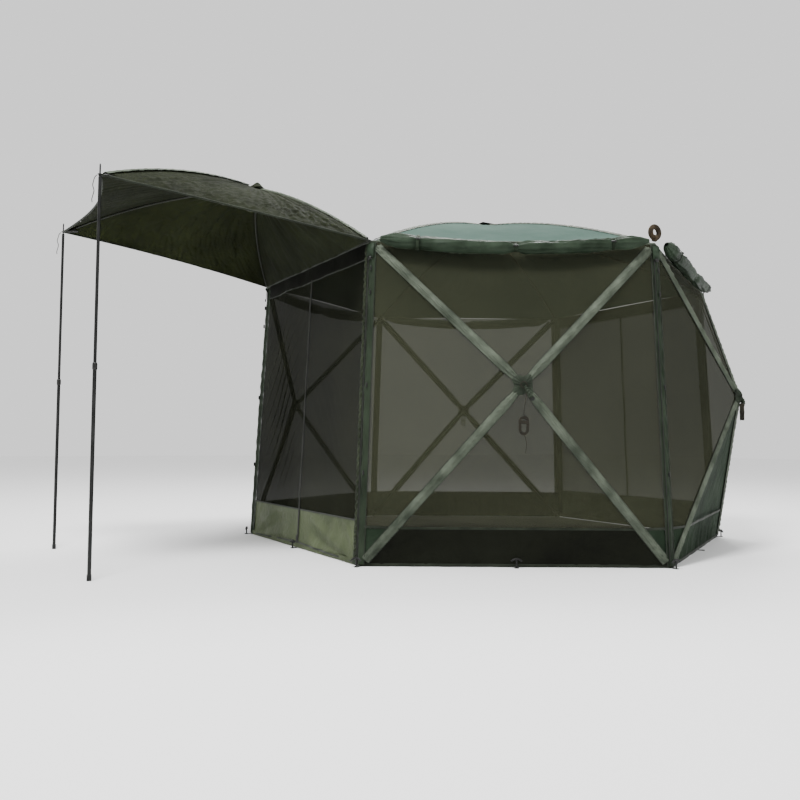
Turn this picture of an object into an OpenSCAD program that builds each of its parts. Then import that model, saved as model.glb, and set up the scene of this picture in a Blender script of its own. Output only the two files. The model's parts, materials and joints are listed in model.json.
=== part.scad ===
// Six-sided pop-up screen house: four braced mesh walls, two zipped door walls, a domed roof,
// a braced awning on two telescoping poles, rolled window flaps, pegs, guylines and a groundsheet.
// The origin is the centre of the hexagon on the ground, +Z is up and the awning points along -Y.
// Wall k faces the angle -90 + 60k degrees, and corner k stands at -120 + 60k degrees.

/* [Walls] */
// Distance from the centre to each ground corner
base_radius = 1750; // [1400:10:2200]
// Distance from the centre to each eaves corner
top_radius = 1650; // [1300:10:2100]
// Height of the eaves
eaves_height = 1860; // [1600:10:2100]
// Distance from the centre to each wall hub
hub_radius = 1780; // [1500:10:2200]
// Height of the wall hubs
hub_height = 1005; // [800:5:1200]
// Height of the solid skirt on the braced walls
skirt_height = 220; // [100:10:300]
// Thickness of every fabric panel
fabric = 2.4; // [1:0.1:3]
// Width of the pole sleeves
sleeve_width = 52; // [40:2:70]

/* [Roof] */
// Height of the roof's top
roof_height = 2350; // [2100:10:2500]
// Distance from the centre to the ring where the roof's pitch changes
ring_radius = 825; // [600:5:1000]
// Height of that ring
ring_height = 2165; // [2000:5:2300]

/* [Awning] */
// Reach of the awning from the eaves
awning_length = 1477; // [1200:1:1600]
// Half the distance between the two front tips
tip_half = 655; // [500:5:800]
// Height of the front tips
tip_height = 2042; // [1900:1:2100]
// Distance from the eaves to the awning's peak
peak_reach = 400; // [300:10:600]
// Height of the awning's peak
peak_height = 2330; // [2200:5:2400]
// Length of the awning pole's lower tube
lower_tube = 1080; // [1000:10:1100]

/* [Doors] */
// Width of the fixed fabric beside each door
jamb_width = 58; // [55:1:90]
// Height of the door opening
door_height = 1780; // [1700:5:1790]
// Height of the solid panel at the foot of each door
door_skirt = 250; // [150:10:350]
// Height of the sill outside the foot of a door
sill_height = 34; // [20:1:34]

/* [Poles and hubs] */
// Diameter of the fibreglass poles
pole_d = 9.5; // [7:0.5:12]
// Diameter of a hub
hub_d = 124; // [90:2:140]
// How far a wall hub pushes in
wall_hub_travel = 622; // [500:1:630]

/* [Flaps, pegs and groundsheet] */
// Diameter of a rolled window flap
roll_d = 84; // [70:2:112]
// How far the ends of a roll hang below the eaves
roll_drop = 20; // [10:2:60]
// How far a roll sags in the middle
roll_sag = 55; // [20:5:60]
// Height of a peg above the ground
peg_height = 56; // [45:1:60]
// Thickness of a peg
peg_d = 9; // [7:0.5:10]
// Width of a peg's arched head
peg_head = 60; // [40:1:64]
// Thickness of the groundsheet
sheet_thickness = 3; // [1:0.5:3]
// Distance from the centre to each corner of the groundsheet
sheet_radius = 1715; // [1300:5:1720]

/* [Hidden] */
$fn = 48;
gap = 0.4;
corner_post = 24;
pivot_back = 26;
pivot_side = 13;
pivot_rise = 25;
pin_d = 4;
eye_d = 14;
ring_out = 34;
ring_bore = 6;
head_bend = 40;
head_d = 11;
rod_drop = 12;
rod_start = 26;
rod_end = 16;
rod_bow = 0.84;
socket_drop = 36;
hem_rise = 25;
sill_in = 36;
sill_edge = 2;
coil_radius = 34;
coil_thick = 30;
coil_rise = 68;
tip_pivot = [0, -(top_radius * cos(30) + awning_length), tip_height];
tube_d = 19.5;
inner_d = 16;
cord_d = 4;
BRACED = [1, 2, 4, 5];
DOORS = [0, 3];
SAGE = [0.50, 0.54, 0.47];
SAGE_LIGHT = [0.60, 0.64, 0.56];
MESH = [0.30, 0.33, 0.27, 0.85];
ROOF = [0.58, 0.63, 0.60];
DARK = [0.14, 0.15, 0.12];
CORD = [0.17, 0.15, 0.12];
ROD = [0.24, 0.25, 0.24];
TUBE = [0.33, 0.35, 0.34];
// The free stretch of the guyline on wall 1, in that wall's frame: outward, sideways and up.
GUY_ROUTE = [[1798, 10, 975], [1806, 12, 950], [1806, 8, 920], [1803, 3, 890], [1801, 0, 862],
             [1800, 0, 840]];
GUY_TAIL = [[1800, 4, 735], [1801, 9, 715], [1806, 13, 690], [1809, 10, 665], [1807, 6, 642]];
// A short cord below each awning tip, as offsets from the tip.
TIP_ROUTE = [[0, -14, -6], [0, -24, -18], [2, -30, -40], [-3, -34, -64], [-1, -27, -88],
             [4, -31, -112], [2, -36, -134], [0, -34, -150]];

// ---- geometry in the part's frame ----
function unit(v) = v / norm(v);
function wall_angle(k) = -90 + 60 * k;
function corner_angle(k) = -120 + 60 * k;
function around(r, a, z) = [r * cos(a), r * sin(a), z];
function turn(v, a) = [v[0] * cos(a) - v[1] * sin(a), v[0] * sin(a) + v[1] * cos(a), v[2]];
function base(k) = around(base_radius, corner_angle(k), 0);
function top(k) = around(top_radius, corner_angle(k), eaves_height);
function ring(k) = around(ring_radius, corner_angle(k), ring_height);
function hub(k) = around(hub_radius, wall_angle(k), hub_height);
function along(a, b, d) = a + unit(b - a) * d;
// The part of v that is square to the line from a to b.
function square_to(a, b, v) = v - unit(b - a) * (v * unit(b - a));
function normal(p) = unit(cross(p[1] - p[0], p[2] - p[0]));
// The foot of a corner line, a little below the ground, so that a cut at the ground is clean.
function foot(k) = along(base(k), top(k), -8);
// The four faces of a braced wall, each anticlockwise from outside: foot, right, top, left.
function faces(k) = [
    [foot(k), foot(k + 1), hub(k)], [foot(k + 1), top(k + 1), hub(k)],
    [top(k + 1), top(k), hub(k)], [top(k), foot(k), hub(k)]];
function braced(k) = k % 6 != 0 && k % 6 != 3;
// Outward normals of the fabric on the right and on the left of corner k.
function right_normal(k) = braced(k) ? normal(faces(k)[3]) : normal([base(k), base(k + 1), top(k)]);
function left_normal(k) = let (w = (k + 5) % 6)
    braced(w) ? normal(faces(w)[1]) : normal([base(w), base(w + 1), top(w)]);
// A polygon with every edge moved in by e.
function inset(p, e) = let (n = len(p)) [for (i = [0:n - 1])
    let (a = unit(p[(i + 1) % n] - p[i]), b = unit(p[(i + n - 1) % n] - p[i]))
        p[i] + (a + b) * e / norm(cross(a, b))];

// Moves children so that their X and Z axes point along x and z, with their origin at p.
module place(p, x, z) {
    y = cross(z, x);
    multmatrix([[x[0], y[0], z[0], p[0]], [x[1], y[1], z[1], p[1]], [x[2], y[2], z[2], p[2]],
                [0, 0, 0, 1]]) children();
}

module at_wall(k) {
    rotate([0, 0, wall_angle(k)]) children();
}

module at_corner(k) {
    rotate([0, 0, corner_angle(k)]) children();
}

// A flat fabric panel, given anticlockwise from its outer side, as thick as fabric.
module panel(p, e = 2.5) {
    q = inset(p, e);
    n = len(q);
    lift = normal(p) * fabric / 2;
    polyhedron(
        points = concat([for (v = q) v - lift], [for (v = q) v + lift]),
        faces = concat([[for (i = [0:n - 1]) i]], [[for (i = [n - 1:-1:0]) n + i]],
                       [for (i = [0:n - 1]) [i, n + i, n + (i + 1) % n, (i + 1) % n]]));
}

// A raised band over the ridge from a to b, where the faces with normals n1 and n2 meet.
module band(a, b, n1, n2, w, raise) {
    up = unit(n1 + n2);
    z = unit(b - a);
    out = unit(up - z * (up * z));
    fold = acos(min(1, n1 * n2)) / 2;
    low = fabric / 2 + gap;
    edge = low / cos(fold) - tan(fold) * w / 2;
    place(a, cross(out, z), z) linear_extrude(height = norm(b - a))
        polygon([[-w / 2, edge], [0, low / cos(fold)], [w / 2, edge], [w / 2, edge + 2],
                 [w / 6, low + raise], [-w / 6, low + raise], [-w / 2, edge + 2]]);
}

// A tube with flat sides swept along points, its ends closed.
module tube(p, d, sides = 8) {
    n = len(p);
    dir = [for (i = [0:n - 1]) unit(p[min(i + 1, n - 1)] - p[max(i - 1, 0)])];
    side = [for (v = dir) unit(cross(v, abs(v[0]) < 0.9 ? [1, 0, 0] : [0, 1, 0]))];
    polyhedron(
        points = [for (i = [0:n - 1]) for (j = [0:sides - 1])
            p[i] + d / 2 * (side[i] * cos(j * 360 / sides)
                            + cross(dir[i], side[i]) * sin(j * 360 / sides))],
        faces = concat([[for (j = [0:sides - 1]) j]], [[for (j = [sides - 1:-1:0]) (n - 1) * sides + j]],
                       [for (i = [0:n - 2]) for (j = [0:sides - 1])
                           let (m = (j + 1) % sides)
                               [i * sides + j, (i + 1) * sides + j, (i + 1) * sides + m, i * sides + m]]));
}

// ---- fabric walls ----
module hub_window(k) {
    at_wall(k) translate([hub_radius - 200, 0, hub_height]) rotate([0, 90, 0])
        cylinder(d = hub_d + 18, h = 400);
}

module mesh_panel(k) {
    color(MESH) difference() {
        for (f = faces(k)) panel(f);
        hub_window(k);
        translate([-3000, -3000, -100]) cube([6000, 6000, 100 + skirt_height + 1]);
    }
}

module wall_skirts() {
    color(SAGE) intersection() {
        for (k = BRACED) for (i = [0, 1, 3]) panel(faces(k)[i]);
        translate([-3000, -3000, 0]) cube([6000, 6000, skirt_height - 1]);
    }
}

module pole_sleeves() {
    color(SAGE_LIGHT) {
        for (k = BRACED) {
            f = faces(k);
            for (i = [0:3]) {
                a = f[i][0];
                band(along(a, hub(k), 84), along(hub(k), a, hub_d / 2 + 14), normal(f[(i + 3) % 4]),
                     normal(f[i]), sleeve_width, 6);
            }
        }
        for (k = [0:5]) {
            low_right = normal([top(k), top(k + 1), ring(k)]);
            low_left = normal([top(k + 5), top(k), ring(k + 5)]);
            high_right = normal([ring(k), ring(k + 1), [0, 0, roof_height]]);
            high_left = normal([ring(k + 5), ring(k), [0, 0, roof_height]]);
            band(along(top(k), ring(k), 70), along(ring(k), top(k), 4), low_left, low_right, 40, 5);
            band(along(ring(k), [0, 0, roof_height], 4), along([0, 0, roof_height], ring(k), 60),
                 high_left, high_right, 40, 5);
        }
    }
}

module corner_strips() {
    color(SAGE) for (k = [0:5])
        band(along(base(k), top(k), 8), along(top(k), base(k), 8), left_normal(k), right_normal(k),
             58, 3);
}

// Fixed strips beside both doors, the panel over them and the low sill outside their feet.
module door_frames() {
    color(SAGE) for (k = DOORS) {
        head = (eaves_height - door_height) / eaves_height;
        for (s = [-1, 1]) {
            a = s > 0 ? k + 1 : k;
            across = turn([0, -s * jamb_width, 0], wall_angle(k));
            strip = [foot(a), foot(a) + across, top(a) + across, top(a)];
            intersection() {
                panel(s > 0 ? [for (i = [3:-1:0]) strip[i]] : strip);
                translate([-3000, -3000, 0]) cube([6000, 6000, eaves_height]);
            }
        }
        low = [for (i = [k, k + 1]) top(i) + (base(i) - top(i)) * head];
        in = turn([0, jamb_width, 0], wall_angle(k));
        panel([low[0] + in, low[1] - in, top(k + 1) - in, top(k) + in], 1.5);
        rise = [for (i = [k, k + 1]) along(base(i), top(i), sill_height) - base(i)];
        out = normal([base(k), base(k + 1), top(k)]) * (fabric + gap);
        end = turn([0, sill_in, 0], wall_angle(k));
        panel([for (v = [base(k) + end, base(k + 1) - end, base(k + 1) - end + rise[1],
                         base(k) + end + rise[0]]) v + out], sill_edge);
    }
}

// One half of a door, on wall k. s is 1 for the half on the right, seen from outside.
module door_half(k, s) {
    a = s > 0 ? k + 1 : k;
    mid_foot = (base(k) + base(k + 1)) / 2;
    mid_top = (top(k) + top(k + 1)) / 2;
    across = turn([0, -s * jamb_width, 0], wall_angle(k));
    function edge(z) = base(a) + across + (top(a) - base(a)) * z / eaves_height;
    function middle(z) = mid_foot + (mid_top - mid_foot) * z / eaves_height;
    // The hem at the foot rises towards the zip, so that it clears the ground as the door swings in.
    module piece(z0, z1, rise) {
        p = [middle(z0 + rise), edge(z0), edge(z1), middle(z1)];
        panel(s > 0 ? p : [for (i = [3:-1:0]) p[i]], 2);
    }
    color(SAGE) piece(5, door_skirt, hem_rise);
    color(MESH) piece(door_skirt - 2, door_height, 0);
}

module zip_slider(k) {
    lean = atan((base_radius - top_radius) * cos(30) / eaves_height);
    color(DARK) at_wall(k) translate([base_radius * cos(30), -12, 0]) rotate([0, -lean, 0]) {
        translate([fabric / 2 + 1, -6, 62]) cube([5, 12, 22]);
        translate([fabric / 2 + 2.5, -3, 36]) cube([2, 6, 27]);
    }
}

// ---- roof ----
module roof_canopy() {
    peak = [0, 0, roof_height];
    color(ROOF) for (k = [0:5]) {
        panel([top(k), top(k + 1), ring(k + 1), ring(k)], 1.6);
        difference() {
            panel([ring(k), ring(k + 1), peak], 1.6);
            cylinder(r = 22, h = 3000);
        }
    }
}

// ---- poles, hubs and brackets ----
// The pivot of a wall pole in its wall's frame. s is its side and up is 1 at the eaves.
function pivot(s, up) = let (r = up ? top_radius : base_radius)
    [r * cos(30) - pivot_back * cos(30) + pivot_side * sin(30),
     s * (r / 2 - pivot_back * sin(30) - pivot_side * cos(30)),
     up ? eaves_height - pivot_rise : pivot_rise];
hub_centre = [hub_radius - 12, 0, hub_height];
function pole_dir(s, up) = unit(hub_centre - pivot(s, up));
function pole_axis(s, up) = unit(cross(pole_dir(s, up), [-1, 0, 0]));
roof_pivot = [top_radius - 46, 0, eaves_height - 2];
roof_hub_z = roof_height - 34;
roof_reach = 40;
roof_bow = 48;

module eye(length) {
    difference() {
        union() {
            cylinder(d = eye_d, h = pole_d, center = true);
            rotate([0, 90, 0]) cylinder(d = pole_d, h = length);
        }
        cylinder(d = pin_d + 0.3, h = 40, center = true);
    }
}

module wall_pole(k, s, up) {
    length = norm(hub_centre - pivot(s, up)) - hub_d / 2 + 14;
    color(ROD) at_wall(k) place(pivot(s, up), pole_dir(s, up), pole_axis(s, up)) eye(length);
}

// The slot that a pole's eye turns in, in the frame of that pole.
module slot() {
    translate([-9, -60, -pole_d / 2 - 0.5]) cube([90, 120, pole_d + 1]);
}

module bracket(k, up) {
    r = up ? top_radius : base_radius;
    z = up ? eaves_height - 47 : 3.5;
    x = up ? r - 44 : r - 47;
    difference() {
        union() {
            at_corner(k) translate([x, -corner_post, z]) cube([28, 2 * corner_post, 43.5]);
            if (up) at_corner(k) translate([r - 62, -corner_post / 2, eaves_height - 30])
                cube([30, corner_post, 34]);
        }
        if (braced(k)) at_wall(k) place(pivot(-1, up), pole_dir(-1, up), pole_axis(-1, up)) slot();
        if (braced(k + 5)) at_wall(k + 5)
            place(pivot(1, up), pole_dir(1, up), pole_axis(1, up)) slot();
        if (up) at_corner(k) translate([r - 80, -pole_d / 2 - 0.5, eaves_height - 12])
            cube([60, pole_d + 1, 60]);
    }
    if (braced(k)) at_wall(k) place(pivot(-1, up), pole_dir(-1, up), pole_axis(-1, up))
        cylinder(d = pin_d, h = 19, center = true);
    if (braced(k + 5)) at_wall(k + 5) place(pivot(1, up), pole_dir(1, up), pole_axis(1, up))
        cylinder(d = pin_d, h = 19, center = true);
    if (up) at_corner(k) translate(roof_pivot) rotate([90, 0, 0])
        cylinder(d = pin_d, h = 20, center = true);
}

module corner_brackets() {
    color(DARK) for (k = [0:5]) for (up = [false, true]) bracket(k, up);
}

// A hub disc with a short socket for each pole. The sockets open away from the middle.
module wall_hub(k) {
    color(DARK) at_wall(k) difference() {
        union() {
            translate(hub_centre - [11, 0, 0]) rotate([0, 90, 0]) cylinder(d = hub_d - 44, h = 22);
            translate(hub_centre + [10, 0, 0]) rotate([0, 90, 0]) cylinder(d1 = 56, d2 = 34, h = 12);
            for (s = [-1, 1]) for (up = [false, true])
                place(hub_centre, pole_dir(s, up), pole_axis(s, up))
                    translate([-hub_d / 2, 0, 0]) rotate([0, 90, 0]) cylinder(d = 17, h = 44);
        }
        for (s = [-1, 1]) for (up = [false, true])
            place(hub_centre, pole_dir(s, up), pole_axis(s, up))
                translate([-hub_d / 2 - 1, 0, 0]) rotate([0, 90, 0]) cylinder(d = pole_d + 0.8, h = 21);
    }
}

// A rod bent in an arc from a to b. Its middle bows the way v points, as far as v is square to the rod.
module arc_rod(a, b, v, d) {
    w = square_to(a, b, v);
    half = norm(b - a) / 2;
    bend = (half * half + w * w) / (2 * norm(w));
    sweep = 2 * asin(half / bend);
    place((a + b) / 2 + w - unit(w) * bend, unit(w), cross(unit(w), unit(b - a)))
        rotate([0, 0, -sweep / 2]) rotate_extrude(angle = sweep, $fn = 256) translate([bend, 0])
            circle(d = d, $fn = 48);
}

module roof_pole(k) {
    color(ROD) at_corner(k) difference() {
        union() {
            translate(roof_pivot) rotate([90, 0, 0]) cylinder(d = eye_d, h = pole_d, center = true);
            arc_rod(roof_pivot, [roof_reach, 0, roof_hub_z], [0, 0, roof_bow], pole_d);
        }
        translate(roof_pivot) rotate([90, 0, 0]) cylinder(d = pin_d + 0.3, h = 40, center = true);
    }
}

module roof_hub() {
    color(DARK) {
        translate([0, 0, roof_hub_z - 9]) cylinder(d = 62, h = 20);
        translate([0, 0, roof_hub_z - 24]) cylinder(d = 20, h = 16);
    }
}

// ---- window flaps rolled up under the eaves ----
roll_down = unit([hub_radius - top_radius * cos(30), 0, hub_height - eaves_height]);
roll_out = [-roll_down[2], 0, roll_down[0]];
roll_half = top_radius / 2 - 50;
roll_bend = (roll_half * roll_half + roll_sag * roll_sag) / (2 * roll_sag);
roll_sweep = 2 * asin(roll_half / roll_bend);

module roll_frame(k) {
    middle = [top_radius * cos(30), 0, eaves_height] + roll_down * (roll_drop + roll_sag)
        + roll_out * (roll_d / 2 + 15);
    at_wall(k) place(middle - roll_down * roll_bend, roll_down, roll_out) children();
}

module window_rolls() {
    color(SAGE) for (k = BRACED) roll_frame(k) rotate([0, 0, -roll_sweep / 2])
        rotate_extrude(angle = roll_sweep, $fn = 256) translate([roll_bend, 0]) circle(d = roll_d);
}

module roll_ties() {
    color(DARK) for (k = BRACED) roll_frame(k) for (t = [-0.36, 0, 0.36])
        rotate([0, 0, t * roll_sweep]) translate([roll_bend, 0, 0]) rotate([90, 0, 0])
            difference() {
                cylinder(d = roll_d + 5, h = 24, center = true);
                cylinder(d = roll_d + 1, h = 30, center = true);
            }
}

// ---- pegs and peg loops ----
module loop_places() {
    for (k = [0:5]) {
        at_corner(k) translate([base_radius + ring_out, 0, 0]) children();
        at_wall(k) translate([base_radius * cos(30) + ring_out, 0, 0]) children();
    }
}

module peg_places() {
    for (k = [0:5]) at_corner(k) translate([base_radius + ring_out, 0, 0]) children();
    for (k = [0, 1]) at_wall(k) translate([base_radius * cos(30) + ring_out, 0, 0]) children();
}

module peg_loops() {
    color(DARK) loop_places() {
        difference() {
            union() {
                cylinder(r = 13, h = 4);
                translate([-ring_out + 6, -11, 1]) cube([ring_out - 9, 22, 2]);
            }
            translate([0, 0, -1]) cylinder(r = ring_bore, h = 6);
        }
    }
}

// A round shank under a head that arches down at both ends.
module pegs() {
    half = asin(peg_head / 2 / head_bend);
    color(DARK) peg_places() {
        cylinder(d = peg_d, h = peg_height - head_d / 2);
        translate([0, 0, peg_height - head_d / 2 - head_bend]) rotate([90, 0, 90])
            rotate([0, 0, 90 - half]) rotate_extrude(angle = 2 * half)
                translate([head_bend, 0]) circle(d = head_d);
    }
}

// ---- guylines ----
module corner_guy_coil() {
    color(CORD) translate(around(top_radius + 4, corner_angle(2), eaves_height + coil_rise))
        rotate([90, 0, 90]) rotate_extrude() translate([coil_radius, 0]) circle(d = coil_thick);
}

module guyline_1() {
    color(CORD) at_wall(1) {
        tube(GUY_ROUTE, cord_d);
        tube(GUY_TAIL, cord_d);
    }
}

// A folded hank hangs from the point p of wall k. It is wide sideways and thin outwards.
module hank(k, p, length, width, thick) {
    color(CORD) at_wall(k) translate(p + [-thick / 2, 0, 0]) rotate([90, 0, 90])
        linear_extrude(height = thick) {
            translate([0, -width / 2]) circle(d = width);
            translate([0, width / 2 - length]) circle(d = width);
            translate([-width / 2, width / 2 - length]) square([width, length - width]);
        }
}

// ---- awning ----
awning_root = [0, -(top_radius * cos(30) + 8), eaves_height + 4];
awning_peak = [0, -(top_radius * cos(30) + peak_reach), peak_height];
// How far the front and the rear seams bow at their middles
front_bow = [0, 0, 62];
rear_bow = [0, -50, 60];
function awning_corner(s, front) = front ? tip_pivot + [s * tip_half, 0, 0]
    : awning_root + [s * top_radius / 2, 0, 0];
// The bowed middle of the seam from a corner to the peak.
function bow(s, front) = let (c = awning_corner(s, front))
    (c + awning_peak) / 2 + square_to(c, awning_peak, front ? front_bow : rear_bow);

module tip_clearance() {
    for (s = [-1, 1]) translate(awning_corner(s, true)) sphere(r = 34);
}

module awning_canopy() {
    a = awning_corner(-1, true);
    b = awning_corner(1, true);
    c = awning_corner(-1, false);
    d = awning_corner(1, false);
    am = bow(-1, true);
    bm = bow(1, true);
    cm = bow(-1, false);
    dm = bow(1, false);
    color(ROOF) difference() {
        for (p = [[a, b, bm, am], [am, bm, awning_peak], [d, c, cm, dm], [dm, cm, awning_peak],
                  [c, a, am], [c, am, cm], [cm, am, awning_peak], [b, d, dm], [b, dm, bm],
                  [bm, dm, awning_peak]])
            panel(p, 1.6);
        tip_clearance();
    }
}

// One rod under the canopy, from near a corner to the side of the peak's socket. It bows a little
// less than the seam above it.
module awning_rod(s, front) {
    c = awning_corner(s, front);
    start = along(c, awning_peak, rod_start) - unit(square_to(c, awning_peak, [0, 0, 1])) * rod_drop;
    side = unit([c[0] - awning_peak[0], c[1] - awning_peak[1], 0]);
    arc_rod(start, awning_peak + side * rod_end - [0, 0, socket_drop],
            (front ? front_bow : rear_bow) * rod_bow, pole_d);
}

// The ring at a front tip, with the tongue that ends beside the rod.
module tip_ring(s) {
    w = unit(awning_peak - awning_corner(s, true));
    translate(awning_corner(s, true)) {
        difference() {
            translate([0, 0, -2]) cylinder(d = 24, h = 4);
            translate([0, 0, -20]) cylinder(d = 14, h = 40);
        }
        place(w * 13, w, unit([0, 0, 1] - w * w[2])) translate([-2, -6, -6]) cube([16, 12, 5]);
    }
}

module awning_frame() {
    color(ROD) {
        for (s = [-1, 1]) {
            awning_rod(s, true);
            awning_rod(s, false);
            tip_ring(s);
        }
        translate(awning_peak - [0, 0, socket_drop + 8]) cylinder(d = 28, h = 16);
        translate(awning_peak + [0, 0, 6]) cylinder(d1 = 90, d2 = 30, h = 36);
    }
}

module storm_upper(s) {
    color(TUBE) translate(awning_corner(s, true)) {
        translate([0, 0, lower_tube - 130 - tip_height])
            cylinder(d = inner_d, h = tip_height - lower_tube + 130 - 14);
        translate([0, 0, -15]) cylinder(d = 8, h = 64);
        translate([0, 0, 48.5]) cylinder(d1 = 8, d2 = 4, h = 7);
    }
}

module storm_lower(s) {
    color(TUBE) translate([s * tip_half, tip_pivot[1], 0]) {
        difference() {
            cylinder(d = tube_d, h = lower_tube);
            translate([0, 0, 34]) cylinder(d = inner_d + 0.8, h = lower_tube);
        }
        difference() {
            cylinder(d = 24, h = 30);
            translate([0, 0, -1]) cylinder(d = tube_d - 1, h = 40);
        }
    }
}

module tip_cords() {
    color(CORD) for (s = [-1, 1]) translate(awning_corner(s, true))
        tube([for (v = TIP_ROUTE) [-s * v[0], v[1], v[2]]], cord_d);
}

module groundsheet() {
    color([0.70, 0.69, 0.67]) cylinder(r = sheet_radius, h = sheet_thickness, $fn = 6);
}

// ---- one line for each node ----
corner_brackets();
corner_strips();
mesh_panel(1);  // mesh_panel_1
mesh_panel(2);  // mesh_panel_2
mesh_panel(4);  // mesh_panel_4
mesh_panel(5);  // mesh_panel_5
wall_skirts();
pole_sleeves();
door_frames();
roof_canopy();
window_rolls();
roll_ties();
pegs();
peg_loops();
corner_guy_coil();
groundsheet();
door_half(0, -1);  // front_door_left
door_half(0, 1);  // front_door_right
door_half(3, -1);  // back_door_left
door_half(3, 1);  // back_door_right
zip_slider(0);  // front_zip_slider
zip_slider(3);  // back_zip_slider
wall_hub(1);  // wall_hub_1
wall_hub(2);  // wall_hub_2
wall_hub(4);  // wall_hub_4
wall_hub(5);  // wall_hub_5
wall_pole(1, -1, false);  // pole_1_low_left
wall_pole(1, 1, false);  // pole_1_low_right
wall_pole(1, -1, true);  // pole_1_high_left
wall_pole(1, 1, true);  // pole_1_high_right
wall_pole(2, -1, false);  // pole_2_low_left
wall_pole(2, 1, false);  // pole_2_low_right
wall_pole(2, -1, true);  // pole_2_high_left
wall_pole(2, 1, true);  // pole_2_high_right
wall_pole(4, -1, false);  // pole_4_low_left
wall_pole(4, 1, false);  // pole_4_low_right
wall_pole(4, -1, true);  // pole_4_high_left
wall_pole(4, 1, true);  // pole_4_high_right
wall_pole(5, -1, false);  // pole_5_low_left
wall_pole(5, 1, false);  // pole_5_low_right
wall_pole(5, -1, true);  // pole_5_high_left
wall_pole(5, 1, true);  // pole_5_high_right
roof_hub();
roof_pole(0);  // roof_pole_0
roof_pole(1);  // roof_pole_1
roof_pole(2);  // roof_pole_2
roof_pole(3);  // roof_pole_3
roof_pole(4);  // roof_pole_4
roof_pole(5);  // roof_pole_5
awning_canopy();
awning_frame();
storm_upper(-1);  // storm_upper_left
storm_lower(-1);  // storm_lower_left
storm_upper(1);  // storm_upper_right
storm_lower(1);  // storm_lower_right
guyline_1();
hank(1, [1800, 0, 838], 100, 56, 26);  // hank_1
hank(2, [1800, 0, 960], 110, 40, 26);  // hank_2
hank(4, [1800, 0, 960], 110, 40, 26);  // hank_4
tip_cords();
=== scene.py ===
"""Looks of the pop-up screen house: fabric, cords, hubs, studio and camera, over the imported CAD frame."""

import json
from contextlib import contextmanager
from math import acos, asin, atan2, cos, exp, hypot, pi, radians, sin, sqrt, tan, tau

import bmesh
import bpy
import numpy as np
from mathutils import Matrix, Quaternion, Vector


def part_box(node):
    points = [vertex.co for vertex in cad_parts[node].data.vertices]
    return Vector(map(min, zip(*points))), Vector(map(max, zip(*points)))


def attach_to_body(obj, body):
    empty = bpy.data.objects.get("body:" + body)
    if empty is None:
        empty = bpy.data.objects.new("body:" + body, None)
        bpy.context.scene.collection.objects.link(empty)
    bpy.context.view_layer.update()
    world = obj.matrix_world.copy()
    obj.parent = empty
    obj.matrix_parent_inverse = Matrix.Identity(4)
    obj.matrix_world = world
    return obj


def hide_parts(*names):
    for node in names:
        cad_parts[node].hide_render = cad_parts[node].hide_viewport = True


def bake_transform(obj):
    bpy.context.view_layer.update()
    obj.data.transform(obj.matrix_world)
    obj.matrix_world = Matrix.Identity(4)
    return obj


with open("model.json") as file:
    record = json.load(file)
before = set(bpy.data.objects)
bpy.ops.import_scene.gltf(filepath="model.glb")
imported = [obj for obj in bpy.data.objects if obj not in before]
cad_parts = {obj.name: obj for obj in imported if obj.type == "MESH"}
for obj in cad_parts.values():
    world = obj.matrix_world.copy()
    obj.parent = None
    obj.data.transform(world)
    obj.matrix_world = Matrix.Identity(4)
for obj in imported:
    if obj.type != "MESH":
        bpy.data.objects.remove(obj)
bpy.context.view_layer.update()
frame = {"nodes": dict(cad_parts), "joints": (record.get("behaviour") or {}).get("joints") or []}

# ---- sizes in metres, the same as the frame's ----
BASE_R, TOP_R, EAVES = 1.75, 1.65, 1.86
HUB_R, HUB_Z = 1.78, 1.005
PEAK_Z, ROOF_BOW = 2.35, 0.06
SKIRT, DOOR_SKIRT, DOOR_TOP, JAMB = 0.22, 0.25, 1.78, 0.058
SLEEVE, STRIP = 0.052, 0.06
AWNING_REACH, TIP_HALF, TIP_Z = 1.477, 0.655, 2.042
FRONT_BOW, REAR_BOW = (0, 0, 0.062), (0, -0.05, 0.06)
# from the middle of the room to the eaves of a wall
INNER = TOP_R * cos(pi / 6)
AWNING_PEAK = np.array([0, -(INNER + 0.4), 2.33])
ROLL_D, ROLL_SAG, ROLL_DROP = 0.084, 0.055, 0.02
HEM_RISE, SILL = 0.025, 0.034
POLE_D, CORD_D, ROPE_D = 0.0095, 0.004, 0.006
BRACED, DOORS = (1, 2, 4, 5), (0, 3)
ACROSS, UP = np.array([[0.0, 1.0, 0.0], [0.0, 0.0, 1.0]])
SIDES = ((-1, "left"), (1, "right"))


# ---- places in the frame ----
def wall_angle(k):
    return radians(-90 + 60 * k)


def corner_angle(k):
    return radians(-120 + 60 * k)


def polar(radius, angle, z):
    return np.array([radius * cos(angle), radius * sin(angle), z])


def leaning(z):
    """How far the corner lines are from the middle at height z."""
    return BASE_R + (TOP_R - BASE_R) * z / EAVES


def base(k, z=0.0):
    """The point at height z on corner k's line."""
    return polar(leaning(z), corner_angle(k), z)


def half_width(z):
    """Half the width of a wall at height z."""
    return leaning(z) / 2


def top(k):
    return polar(TOP_R, corner_angle(k), EAVES)


def hub(k):
    return polar(HUB_R, wall_angle(k), HUB_Z)


def in_wall(k, point):
    """A point given as outward, sideways and up in wall k's frame."""
    a = wall_angle(k)
    x, y, z = point
    return np.array([x * cos(a) - y * sin(a), x * sin(a) + y * cos(a), z])


def on_ring(centre, x, y, r, a):
    return centre + x * r * cos(a) + y * r * sin(a)


def unit(v):
    v = np.asarray(v, float)
    return v / np.linalg.norm(v, axis=-1, keepdims=True)


def faces_of(k):
    """The four faces of a braced wall, each anticlockwise from outside: foot, right, top, left."""
    h = hub(k)
    return [(base(k), base(k + 1), h), (base(k + 1), top(k + 1), h), (top(k + 1), top(k), h),
            (top(k), base(k), h)]


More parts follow.
